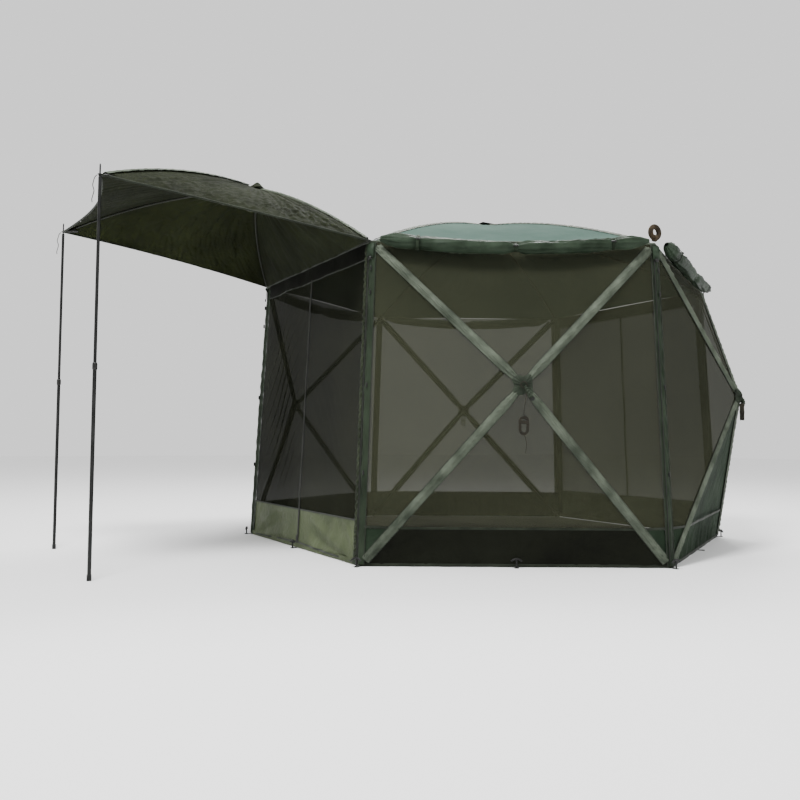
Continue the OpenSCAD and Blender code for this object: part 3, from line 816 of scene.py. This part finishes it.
def add_corner_strip(k):
    """The padded strip over a corner, piped on both edges, with a zip line, toggles and its top patch."""
    n1, n2 = side_normal(k, False), side_normal(k, True)
    a, b = base(k, 0.012), base(k, EAVES - 0.006)
    p, side, up, slope = seam_frame(a, b, n1, n2, 160)

    def height(v, s):
        bend = -np.abs(v) * STRIP / 2 * slope + 0.003
        roll = 0.004 * (1 - v ** 4)
        where = np.stack([s * 7, v * 0.6], -1)
        return bend + roll + 0.0022 * waves(where, 0.5, 90 + k) * (1 - v ** 4)

    obj = band(f"corner_strip_{k}", p, side, up, STRIP, height, STRIP_CLOTH, cols=19)
    attach(obj, "house", "strips", "corner_strips")
    for sign in (-1, 1):
        edge = p + side * sign * STRIP * 0.49 + up * (0.0045 - STRIP / 2 * slope)
        attach(tube(f"strip_piping_{k}_{'ab'[sign > 0]}", edge, 0.0026, TRIM, sides=6), "house", "strips")
    inset = 0.52
    line = p - side * inset * STRIP / 2 + up * (0.0085 - inset * STRIP / 2 * slope)
    attach(band(f"strip_zip_{k}", line, side, up, 0.009, rounded(0.0012, 0.0005, 900), DARK_WEB, cols=5),
           "house", "zips")
    for n, z in enumerate((EAVES - 0.16, EAVES - 0.3, 1.02, 0.52)):
        at = base(k, z) + up * 0.0115 + side * 0.012
        add_toggle(f"strip_toggle_{k}_{n}", at, UP, 0.014, (0.003, 0.0046, 0.0054, 0.0058))
    patch_at = base(k, EAVES - 0.055) + up * 0.0105
    attach(block(f"corner_patch_{k}", patch_at, side, up, (0.054, 0.08, 0.0035), ROLL_CLOTH, 0.3),
           "house", "strips")
    attach(block(f"corner_buckle_{k}", patch_at + up * 0.006 - UP * 0.045, side, up,
                 (0.026, 0.02, 0.008), HUB_PLASTIC, 0.3), "house", "hubs")


# ---- rolled window flaps ----
def roll_axes():
    """A roll's middle, the ways its sag hangs and out of the wall, its bend radius and half angle."""
    down = unit([HUB_R - INNER, 0, HUB_Z - EAVES])
    out = np.array([-down[2], 0, down[0]])
    half = TOP_R / 2 - 0.05
    bend = (half ** 2 + ROLL_SAG ** 2) / (2 * ROLL_SAG)
    middle = np.array([INNER, 0, EAVES]) + down * (ROLL_DROP + ROLL_SAG) + out * (ROLL_D / 2 + 0.015)
    return middle, down, out, bend, asin(half / bend)


TIES = (-0.72, 0.0, 0.72)


def roll_size(s):
    """How full a roll is at s, from -1 to 1 along it: gathered at its ends and pinched by its ties."""
    full = 1.2 - 0.15 * (s + 1)
    full *= 1 - 0.48 * exp(-(s / 0.045) ** 2)
    for t in (TIES[0], TIES[2]):
        full *= 1 - 0.16 * exp(-((s - t) / 0.035) ** 2)
    return full * (1 - 0.72 * np.clip((abs(s) - 0.86) / 0.14, 0, 1) ** 1.4)


def add_roll(k):
    """A solid flap rolled up to the eaves: one long spiral of cloth, pinched where it is tied."""
    middle, down, out, bend, half_angle = roll_axes()
    turns, per_turn, steps = 5.5, 40, 150
    count = int(turns * per_turn)
    grid = np.empty((steps, count, 3))

    def on_arc(a):
        spoke = down * cos(a) + ACROSS * sin(a)
        return spoke, middle - down * bend + spoke * bend

    theta = np.linspace(0, turns * tau, count)
    radius = 0.012 + (ROLL_D / 2 - 0.0145) * theta / theta[-1]
    for i in range(steps):
        s = -1 + 2 * i / (steps - 1)
        spoke, centre = on_arc(s * half_angle)
        size = roll_size(s)
        where = np.stack([np.cos(theta) * 1.1, np.sin(theta) * 1.1, np.full(count, s * 3.2)], -1)
        skew = np.stack([np.cos(theta + 1.6 * s), np.sin(theta + 1.6 * s), np.full(count, s * 1.1)], -1)
        tight = 1.4 - size
        sharp = creases(skew, 0.55, 150 + k) - 0.3
        rumple = 0.055 * waves(where, 1.1, 130 + k) + (0.05 + 0.16 * tight) * sharp
        ruffle = 0.13 * tight * np.sin(9 * theta + 5 * s + k)
        r = radius * size * (1 + (rumple + ruffle) * (radius / radius[-1]))
        twist = theta + 0.9 * s + 0.5 * sin(3 * s + k) - 1.2
        flat = 1 - 0.1 * np.cos(twist) ** 2
        grid[i] = (centre + spoke * (r * np.cos(twist))[:, None]
                   + out * (r * np.sin(twist) * flat)[:, None])
    points = np.array([in_wall(k, p) for p in grid.reshape(-1, 3)])
    obj = new_mesh(f"rolled_flap_{k}", points, grid_faces(steps, count), ROLL_CLOTH)
    attach(obj, "house", "rolls", "window_rolls")
    for n, t in enumerate(TIES):
        spoke, centre = on_arc(t * half_angle)
        along = np.cross(out, spoke)
        snug = ROLL_D / 2 * roll_size(t) * 1.02
        ring = np.array([in_wall(k, on_ring(centre, spoke, out, snug + 0.0008 * sin(5 * b + n), b))
                         for b in (tau * i / 48 for i in range(49))])
        outward = unit(ring - in_wall(k, centre))
        strap = band(f"roll_tie_{k}_{n}", ring, in_wall(k, along), outward, 0.018, rounded(0.0012),
                     STRIP_CLOTH, cols=7)
        thicken(strap, 0.0016)
        attach(strap, "house", "ties", "roll_ties")
        toggle_at = in_wall(k, centre + out * (snug + 0.004) + spoke * 0.006)
        add_toggle(f"roll_toggle_{k}_{n}", toggle_at, in_wall(k, along), 0.015,
                   (0.003, 0.0042, 0.0048, 0.005))


def creases(points, scale, seed):
    """Sharp folds: 0 almost everywhere, rising to 1 along wandering lines."""
    return np.clip(1 - 2.2 * np.abs(waves(points, scale, seed)), 0, 1) ** 1.5


# ---- domed canopies ----
def ridge(peak, corner, bow, t):
    """The bowed line of a pole from the peak (t = 0) to a corner (t = 1)."""
    t = np.asarray(t)[..., None]
    pull = (peak + corner) / 2 + 2 * np.asarray(bow)
    return (1 - t) ** 2 * peak + 2 * t * (1 - t) * pull + t ** 2 * corner


def canopy(name, peak, corners, bows, hollow, sag, wrinkle, hem_fold, material, seed, rows=44, cols=30):
    """One continuous sheet over poles that run from the peak to the corners. hollow is how far each
    free edge curves in, sag how far the cloth dips between two poles, and hem_fold how high the
    slanting folds above each free edge stand."""
    n = len(corners)
    points, faces = [], []
    t = np.linspace(0.0, 1, rows)
    for i in range(n):
        j = (i + 1) % n
        a, b = ridge(peak, corners[i], bows[i], t), ridge(peak, corners[j], bows[j], t)
        out = normal_of(corners[i], corners[j], peak)
        first = len(points)
        for r in range(rows):
            s = np.linspace(0, 1, cols)
            p = a[r] * (1 - s)[:, None] + b[r] * s[:, None]
            arch = 4 * s * (1 - s)
            p = p + (peak - p) * (hollow[i] * arch * t[r] ** 3)[:, None]
            p = p - out * (sag[i] * arch * sin(pi * min(1.0, t[r] * 0.94)) ** 0.8)[:, None]
            fold = np.stack([s * 5, np.full(cols, t[r] * 1.1)], -1)
            edge = np.clip(np.minimum(s, 1 - s) * 8, 0, 1)
            crease = waves(fold, 0.9, seed + i) + 0.6 * waves(fold * [2.3, 1.6], 0.8, seed + 50 + i)
            slant = np.stack([s * 20 + t[r] * 9, s * 3 - t[r] * 4], -1)
            folds = hem_fold[i] * creases(slant, 1.3, seed + 80 + i) * max(0, t[r] - 0.25) ** 1.2
            lift = wrinkle[i] * crease * edge * min(1, t[r] * 4) + folds * edge * min(1, (1.02 - t[r]) * 12)
            p = p + out * lift[:, None]
            points.extend(p)
        faces += [tuple(first + v for v in (f[0], f[3], f[2], f[1])) for f in grid_faces(rows, cols)]
    obj = new_mesh(name, points, faces, material, weld=0.0006)
    with editing(obj) as bm:
        bmesh.ops.dissolve_degenerate(bm, edges=bm.edges, dist=0.0005)
        bmesh.ops.recalc_face_normals(bm, faces=bm.faces)
    for p in obj.data.polygons:
        p.use_smooth = True
    return obj


def ridge_tape(name, peak, corner, bow, out, width, lift, material, seed, start=0.03, end=0.97):
    t = np.linspace(start, end, 110)
    p = ridge(peak, corner, bow, t)
    way = unit(np.gradient(p, axis=0))
    side = unit(np.cross(way, out))
    up = unit(np.cross(side, way))

    def height(v, s):
        back = lift * (1 - np.abs(v) ** 3)
        where = np.stack([s * 9, v * 0.7], -1)
        return -np.abs(v) * width * 0.1 + 0.0022 + back + 0.0012 * waves(where, 0.4, seed)

    return band(name, p, side, up, width, height, material, cols=15)


def edge_tape(name, p0, p1, peak, hollow, material, radius=0.006, count=60):
    """The hem along a canopy's free edge, following the curve of the cloth."""
    s = np.linspace(0, 1, count)[:, None]
    p = p0 * (1 - s) + p1 * s
    p = p + (peak - p) * (hollow * 4 * s * (1 - s))
    return tube(name, p, radius, material, sides=8)


def add_roof():
    peak = np.array([0, 0, PEAK_Z])
    corners = [top(k) for k in range(6)]
    bows = [(0, 0, ROOF_BOW)] * 6
    hollow = [0.016] * 6
    obj = canopy("roof_fabric", peak, corners, bows, hollow, [0.016] * 6, [0.0016] * 6, [0.0] * 6,
                 ROOF, 200)
    low, high = np.array([0, 0, EAVES]), peak
    join(obj, "roof_hub", "roof", low, high, "roof_canopy")
    for k in range(6):
        out = unit(polar(0.35, corner_angle(k), 1.0))
        tape = ridge_tape(f"roof_sleeve_{k}", peak, corners[k], bows[k], out, 0.042, 0.006,
                          SLEEVE_CLOTH, 210 + k)
        join(tape, "roof_hub", "sleeves", low, high, "pole_sleeves")
        t = np.linspace(0.035, 0.972, 60)
        line = ridge(peak, corners[k], bows[k], t) - UP * 0.0095
        rod = tube(f"roof_rod_{k}", line, POLE_D / 2, ROD, sides=10)
        join(rod, "roof_hub", "rods", low, high, f"roof_pole_{k}")
        attach(edge_tape(f"eaves_hem_{k}", top(k), top(k + 1), peak, hollow[k], SLEEVE_CLOTH, 0.0075, 90),
               "house", "roof")
    disc = block("roof_peak_patch", peak + UP * 0.004, (1, 0, 0), (0, 0, 1), (0.15, 0.15, 0.005), TRIM, 0.4)
    attach(disc, "roof_hub", "roof")


def awning_corner(s, front):
    if front:
        return np.array([s * TIP_HALF, -(INNER + AWNING_REACH), TIP_Z])
    return np.array([s * TOP_R / 2, -(INNER + 0.008), EAVES + 0.004])


def add_awning():
    peak = AWNING_PEAK
    corners = [awning_corner(-1, False), awning_corner(-1, True), awning_corner(1, True),
               awning_corner(1, False)]
    bows = [square_to(c, peak, bow) for c, bow in zip(corners, (REAR_BOW, FRONT_BOW, FRONT_BOW, REAR_BOW))]
    hollow = [0.03, 0.085, 0.03, 0.0]
    sag = [0.02, 0.03, 0.02, 0.012]
    wrinkle = [0.004, 0.002, 0.004, 0.003]
    obj = canopy("awning_fabric", peak, corners, bows, hollow, sag, wrinkle, [0.02, 0.005, 0.02, 0.004],
                 AWNING, 300, rows=84, cols=130)
    thicken(obj, 0.0012)
    flat_area(
        (corners[i], corners[(i + 1) % 4], peak) for i in range(4))
    attach(obj, "awning", "awning", "awning_canopy")
    for i, corner in enumerate(corners):
        tape = ridge_tape(f"awning_sleeve_{i}", peak, corner, bows[i], UP, 0.04, 0.006, SLEEVE_CLOTH,
                          320 + i, start=0.06, end=0.975)
        attach(tape, "awning", "awning")
        line = ridge(peak, corner, bows[i], np.linspace(0.02, 0.985, 60)) - UP * 0.01
        rod = tube(f"awning_rod_{i}", line, POLE_D / 2, ROD, sides=10)
        attach(rod, "awning", "awning_rods")
        j = (i + 1) % 4
        attach(edge_tape(f"awning_hem_{i}", corners[i], corners[j], peak, hollow[i], TRIM, 0.0055),
               "awning", "awning")
    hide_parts("awning_frame")
    add_awning_fittings(peak)


def ring(name, centre, x, y, radius, thick, material, sides=10, count=40):
    a = np.linspace(0, tau, count)
    line = np.asarray(centre) + radius * (np.cos(a)[:, None] * unit(x) + np.sin(a)[:, None] * unit(y))
    return tube(name, line, thick, material, sides=sides, ends=False)


def lathe(name, centre, profile, material, count=40):
    """A turned piece: profile is (radius, height) pairs from the bottom up."""
    turn = [tau * i / count for i in range(count)]
    points = [centre + np.array([r * cos(a), r * sin(a), z]) for r, z in profile for a in turn]
    return new_mesh(name, points, tube_faces(len(profile), count), material)


# turned pieces: radius and height, from the bottom up
PEAK_CAP = ((0.058, 0), (0.056, 0.004), (0.042, 0.014), (0.028, 0.025), (0.014, 0.037), (0.006, 0.041))
PEAK_SOCKET = ((0.008, -0.044), (0.013, -0.042), (0.015, -0.038), (0.015, -0.032), (0.012, -0.028))
COLLAR = ((0.01, -0.034), (0.0125, -0.03), (0.0125, -0.004), (0.0105, 0.002), (0.0092, 0.003))


def add_awning_fittings(peak):
    attach(lathe("awning_peak_cap", peak, PEAK_CAP, AWNING, 4), "awning", "hubs")
    attach(lathe("awning_peak_socket", peak, PEAK_SOCKET, HUB_PLASTIC), "awning", "hubs")
    for s, name in SIDES:
        tip = awning_corner(s, True)
        attach(ring(f"tip_ring_{name}", tip, (1, 0, 0), (0, 1, 0), 0.0095, 0.0022, STEEL),
               "awning", "awning_rods")
        inward = unit(np.array([-s * 0.5, 1.0, 0.12]))
        attach(block(f"tip_patch_{name}", tip + inward * 0.05, inward, (s * 0.1, -0.1, 1),
                     (0.075, 0.055, 0.004), DARK_WEB, 0.3), "awning", "awning")
        collar_at = np.array([tip[0], tip[1], 1.08])
        collar = lathe(f"storm_collar_{name}", collar_at, COLLAR, HUB_PLASTIC, 28)
        attach(collar, f"storm_lower_{name}", "hubs")


# ---- doors ----
def door_point(k, y, z):
    """The point y across from the middle of door wall k, at height z, in its flat plane."""
    return in_wall(k, (cos(pi / 6) * leaning(z), y, z))


def door_folds(s, y, z, width):
    """How far the cloth of one door half stands out, y metres from its hinge edge and z up."""
    u = y / width
    wander = 0.35 * waves(np.array([[y * 1.2, z * 0.8]]), 1.1, 400 + s)[0]
    if z > DOOR_SKIRT:
        h = (z - DOOR_SKIRT) / (DOOR_TOP - DOOR_SKIRT)
        phase = (y - 0.74 * z) / 0.105 + wander
        ridge_line = 1 - 2 * abs(sin(pi * phase)) ** 0.7
        depth = (0.0135 if s < 0 else 0.0022) * sin(pi * min(1, h * 0.85 + 0.12)) ** 0.8
        slack = (0.012 if s < 0 else 0.004) * waves(np.array([[u * 2.2, z * 0.7]]), 1.3, 410 + s)[0]
        return (depth * ridge_line + slack) * sin(pi * u) ** 0.45
    far = hypot(y, z)
    ang = atan2(z, y + 0.02)
    fan = sin(15 * ang + 1.8 * sin(5 * ang) + wander + s)
    blend = min(1, (DOOR_SKIRT - z) / 0.08)
    rumple = 0.004 * waves(np.array([[y * 3, z * 3]]), 0.6, 430 + s)[0]
    sharp = fan * (0.6 + 0.4 * abs(fan))
    return (0.01 * sharp * min(1, far / 0.35) + rumple) * blend * sin(pi * u) ** 0.5


def add_door_half(k, s, body):
    """One half of a zipped door: slack mesh above and a satin skirt below, as one sheet."""
    cols, foot_rows, mesh_rows = 110, 26, 110
    out = flat_normal(k)

    def point(i, u):
        hem = 0.008 + HEM_RISE * u
        if i < foot_rows:
            z = hem + (DOOR_SKIRT - hem) * i / foot_rows
        else:
            z = DOOR_SKIRT + (DOOR_TOP - 0.004 - DOOR_SKIRT) * (i - foot_rows) / (mesh_rows - 1)
        edge = half_width(z) - JAMB - 0.002
        y = s * (edge * (1 - u) + 0.002 * u)
        return door_point(k, y, z) + out * door_folds(s, edge - abs(y), z, edge)

    obj = grid_mesh(f"{body}_cloth", foot_rows + mesh_rows, cols, point, [CURTAIN, DOOR_FOOT])
    for n, poly in enumerate(obj.data.polygons):
        poly.material_index = 1 if n < foot_rows * (cols - 1) else 0
    attach(obj, body, "mesh", body)
    z = np.linspace(0.008 + HEM_RISE, DOOR_TOP - 0.006, 120)
    sway = 0.0022 * np.sin(z * 11) + 0.0012 * np.sin(z * 31)
    line = np.array([door_point(k, s * 0.006 + w, x) for x, w in zip(z, sway)]) + out * 0.0035
    attach(band(f"{body}_zip_tape", line, in_wall(k, (0, 1, 0)), out, 0.011, rounded(0.001, 0.0006, 700),
                DARK_WEB, cols=5), body, "zips")
    if s < 0:
        line = [door_point(k, 0, x) + out * 0.004
                for x in np.linspace(0.01 + HEM_RISE, DOOR_TOP - 0.008, 500)]
        size = 0.0022 + 0.0007 * np.sin(np.arange(500) * 2.1)
        attach(tube(f"{body}_zip_teeth", line, size, ZIP_METAL, sides=6), body, "zips")
    for name, low, rise in (("skirt_seam", DOOR_SKIRT, 0.0), ("foot_hem", 0.014, HEM_RISE),
                            ("head_hem", DOOR_TOP - 0.016, 0.0)):
        edge = half_width(low) - JAMB - 0.002
        line = []
        for u in np.linspace(0.004, 0.992, 90):
            y, z = edge * (1 - u), low + rise * u
            line.append(door_point(k, s * y, z) + out * (0.003 + door_folds(s, edge - y, z - 0.001, edge)))
        attach(band(f"{body}_{name}", line, UP, out, 0.01, rounded(0.0012), TRIM, cols=5), body, "strips")


def add_door_frame(k):
    """The fixed cloth round a door: jambs, lintel, the sill outside its foot and the pleated zip flap."""
    out = flat_normal(k)
    for s in (-1, 1):
        def jamb(i, u):
            z = 0.004 + (EAVES - 0.006) * i / 199
            wave = 0.0016 * sin(0.9 * i + 2 * u) + 0.002 * sin(0.31 * i + s)
            return (door_point(k, s * (half_width(z) - 0.002 - (JAMB + 0.01) * u), z)
                    + out * (0.0042 + wave * u))

        obj = grid_mesh(f"jamb_{k}_{'lr'[s > 0]}", 200, 11, jamb, STRIP_CLOTH)
        attach(obj, "house", "strips", "door_frames")

    def flap(i, u):
        z = 0.04 + (EAVES - 0.07) * i / 419
        skew = z * 150 + 1.6 * u + 1.5 * sin(7 * z)
        pleat = 0.0055 * sin(skew) * sin(pi * u) ** 0.5
        wide = 0.024 + 0.003 * sin(skew + 0.8)
        return (door_point(k, half_width(z) - 0.03 - wide * u, z)
                + out * (0.011 + pleat + 0.003 * sin(pi * u)))

    obj = grid_mesh(f"zip_flap_{k}", 420, 13, flap, FLAP_CLOTH)
    attach(obj, "house", "strips")
    for name, low, high, end, lift, material in (
            ("door_head", DOOR_TOP - 0.014, EAVES, JAMB - 0.006, 0.0036, LINTEL),
            ("door_sill", 0.003, SILL, 0.036, 0.003, DOOR_FOOT)):
        def rail(i, u):
            z = low + (high - low) * i / 13
            ripple = 0.0012 * sin(21 * u + 3 * i / 14) + 0.0008 * sin(57 * u)
            return door_point(k, (half_width(z) - end) * (2 * u - 1), z) + out * (lift + ripple)

        obj = grid_mesh(f"{name}_{k}", 14, 90, rail, material)
        2 * (half_width(low) - end)
        attach(obj, "house", "strips", "door_frames")


# ---- groundsheet ----
def add_groundsheet():
    low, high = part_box("groundsheet")
    radius = (high[0] - low[0]) / 2
    rings, spokes = 46, 36
    points, faces = [(0, 0, 0.0022)], []
    for i in range(1, rings + 1):
        for j in range(6 * spokes):
            k, u = divmod(j, spokes)
            u /= spokes
            a, b = polar(radius, corner_angle(k), 0), polar(radius, corner_angle(k + 1), 0)
            p = (a * (1 - u) + b * u) * (i / rings) * 0.999
            points.append((p[0], p[1], 0.0022))
    p = np.array(points)
    lift = np.clip(waves(p[:, :2], 0.55, 500) - 0.5, 0, 1) * 0.012
    rim = np.clip((radius * 0.97 - np.linalg.norm(p[:, :2], axis=1)) / 0.25, 0, 1)
    p[:, 2] += lift * rim
    n = 6 * spokes
    for j in range(n):
        faces.append((0, 1 + j, 1 + (j + 1) % n))
    for i in range(rings - 1):
        for j in range(n):
            a, b = 1 + i * n + j, 1 + i * n + (j + 1) % n
            faces.append((a, b, b + n, a + n)[::-1])
    obj = new_mesh("groundsheet_cloth", p, faces, SHEET)
    attach(obj, "groundsheet", "groundsheet", "groundsheet")
    edge = np.array([polar(radius * 0.994, corner_angle(k), 0.0035) for k in range(7)])
    for k in range(6):
        t = np.linspace(0, 1, 60)[:, None]
        line = edge[k] * (1 - t) + edge[k + 1] * t
        inward = unit(-(edge[k] + edge[k + 1]) * [1, 1, 0])
        attach(band(f"groundsheet_hem_{k}", line + inward * 0.012, inward, UP, 0.024, rounded(0.001), SHEET,
                    cols=5), "groundsheet", "groundsheet")


# ---- CAD nodes that keep their shape ----
def finish_cad_nodes():
    kept = {"corner_brackets": BRACKET_PLASTIC, "pegs": STEEL, "peg_loops": DARK_WEB,
            "front_zip_slider": ZIP_METAL, "back_zip_slider": ZIP_METAL, "roof_hub": HUB_PLASTIC,
            "storm_upper_left": TUBE, "storm_upper_right": TUBE, "storm_lower_left": TUBE,
            "storm_lower_right": TUBE}
    for k in BRACED:
        kept[f"wall_hub_{k}"] = HUB_PLASTIC
    for node, material in kept.items():
        obj = frame["nodes"][node]
        if not obj.material_slots:
            obj.data.materials.append(material)
        for slot in obj.material_slots:
            slot.material = material


# ---- studio ----
# name, place, size in metres and power in watts
LAMPS = (("key", (3.0, -4.0, 7.5), 2.0, 900), ("top", (-2.0, 2.0, 8.0), 3.0, 600),
         ("fill", (7.0, 1.5, 3.0), 4.0, 60))


def add_studio():
    bpy.ops.mesh.primitive_plane_add(size=60, location=(0, 0, -0.0005))
    floor = bpy.context.object
    floor.name = "studio_floor"
    mat = bpy.data.materials.new("studio_floor")
    mat.use_nodes = True
    fill(mat, shader_of(mat), {"Base Color": (0.93, 0.93, 0.93, 1), "Roughness": 0.9})
    floor.data.materials.append(mat)
    world = bpy.data.worlds.new("studio")
    world.use_nodes = True
    back = world.node_tree.nodes["Background"]
    back.inputs["Color"].default_value = (1.0, 1.0, 1.0, 1)
    back.inputs["Strength"].default_value = 1.15
    bpy.context.scene.world = world
    for name, at, size, power in LAMPS:
        data = bpy.data.lights.new(name, "AREA")
        data.size = size
        data.energy = power
        aim(linked(name, data), at, Vector((0, 0, 1.0)) - Vector(at))


# ---- the build ----
add_camera()
add_guylines()
add_corner_coil()
add_tip_cords()
for wall in BRACED:
    wall_sheet(wall)
    add_wall_sleeves(wall)
    add_wall_poles(wall)
    add_hub_trim(wall)
    add_skirt_tape(wall)
    add_roll(wall)
for corner in range(6):
    add_corner_strip(corner)
add_roof()
add_awning()
for wall, name in ((0, "front"), (3, "back")):
    add_door_frame(wall)
    for sign, half in SIDES:
        add_door_half(wall, sign, f"{name}_door_{half}")
add_groundsheet()
finish_cad_nodes()
add_studio()
